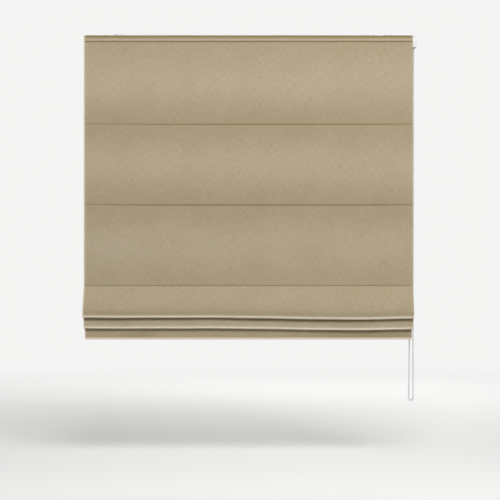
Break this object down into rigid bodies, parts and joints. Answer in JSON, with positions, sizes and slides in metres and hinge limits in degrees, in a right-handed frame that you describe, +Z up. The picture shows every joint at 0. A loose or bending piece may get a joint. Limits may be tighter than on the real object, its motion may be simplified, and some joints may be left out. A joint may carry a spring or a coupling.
{
  "type": "roman blind",
  "caption": "Flat roman blind in plain woven cloth, part raised in soft folds, with rods, lift cords and a bead chain drive in a headrail that clips under a ceiling.",
  "frame": {"origin": "middle of the four bracket screws, on the ceiling plane that the brackets meet", "axes": "+X to the right along the blind's width, seen from the room; +Y back, towards the window; +Z up"},
  "size_m": [0.9208, 0.077, 1.0165],
  "materials": {
    "face_cloth": "plain woven, matt",
    "lining_cloth": "fine woven, matt",
    "rail_paint": "extruded, powder coated white",
    "bracket_steel": "zinc plated",
    "strip_tape": "hook and loop pile",
    "white_plastic": "moulded, satin",
    "bush_plastic": "moulded, satin",
    "spring_steel": "drawn wire",
    "shaft_metal": "mill finish",
    "rod_fibre": "drawn glass fibre, smooth",
    "lift_cord": "braided",
    "chain_plastic": "moulded beads, smooth"
  },
  "bodies": {
    "rail": {"headrail": "rail_paint", "bracket_left": "bracket_steel", "bracket_right": "bracket_steel", "hook_strip": "strip_tape", "loop_strip": "strip_tape", "idle_end_cap": "white_plastic", "drive_housing": "white_plastic", "drive_cover": "white_plastic", "brake_spring": "spring_steel", "spool_cradle_1": "white_plastic", "spool_cradle_2": "white_plastic", "spool_cradle_3": "white_plastic", "face_fabric": "face_cloth", "lining": "lining_cloth", "lift_cord_1": "lift_cord", "lift_cord_2": "lift_cord", "lift_cord_3": "lift_cord", "bead_chain": "chain_plastic"},
    "drive": {"chain_wheel": "white_plastic", "drive_shaft": "shaft_metal", "idle_bush": "bush_plastic", "cord_spool_1": "white_plastic", "cord_spool_2": "white_plastic", "cord_spool_3": "white_plastic"},
    "first_rod": {"rod_1": "rod_fibre", "rod_caps_1": "white_plastic", "rod_pocket_1": "lining_cloth", "rod_rings_1": "white_plastic"},
    "second_rod": {"rod_2": "rod_fibre", "rod_caps_2": "white_plastic", "rod_pocket_2": "lining_cloth", "rod_rings_2": "white_plastic"},
    "stack": {"rod_3": "rod_fibre", "rod_caps_3": "white_plastic", "rod_pocket_3": "lining_cloth", "rod_rings_3": "white_plastic", "rod_4": "rod_fibre", "rod_caps_4": "white_plastic", "rod_pocket_4": "lining_cloth", "rod_rings_4": "white_plastic", "rod_5": "rod_fibre", "rod_caps_5": "white_plastic", "rod_pocket_5": "lining_cloth", "rod_rings_5": "white_plastic", "folded_fabric": "face_cloth", "folded_lining": "lining_cloth", "bottom_bar": "shaft_metal", "bottom_bar_caps": "white_plastic", "cord_adjusters": "white_plastic"}
  },
  "joints": [
    {"name": "lift", "type": "slide", "parent": "rail", "child": "stack", "axis": [0, 0, 1], "range_m": [0, 0.63], "deforming": ["face_fabric", "lining", "lift_cord_1", "lift_cord_2", "lift_cord_3"]},
    {"name": "first_rod_rise", "type": "slide", "parent": "rail", "child": "first_rod", "axis": [0, 0, 1], "range_m": [0, 0.209]},
    {"name": "second_rod_rise", "type": "slide", "parent": "rail", "child": "second_rod", "axis": [0, 0, 1], "range_m": [0, 0.42]},
    {"name": "shaft_turn", "type": "hinge", "parent": "rail", "child": "drive", "pos_m": [0, 0, -0.019], "axis": [1, 0, 0], "range_deg": [-3995, 0]}
  ],
  "couplings": [
    {"joint": "first_rod_rise", "follows": "lift", "ratio": 0.33016},
    {"joint": "second_rod_rise", "follows": "lift", "ratio": 0.66508},
    {"joint": "shaft_turn", "follows": "lift", "rad_per_m": -110.5}
  ]
}
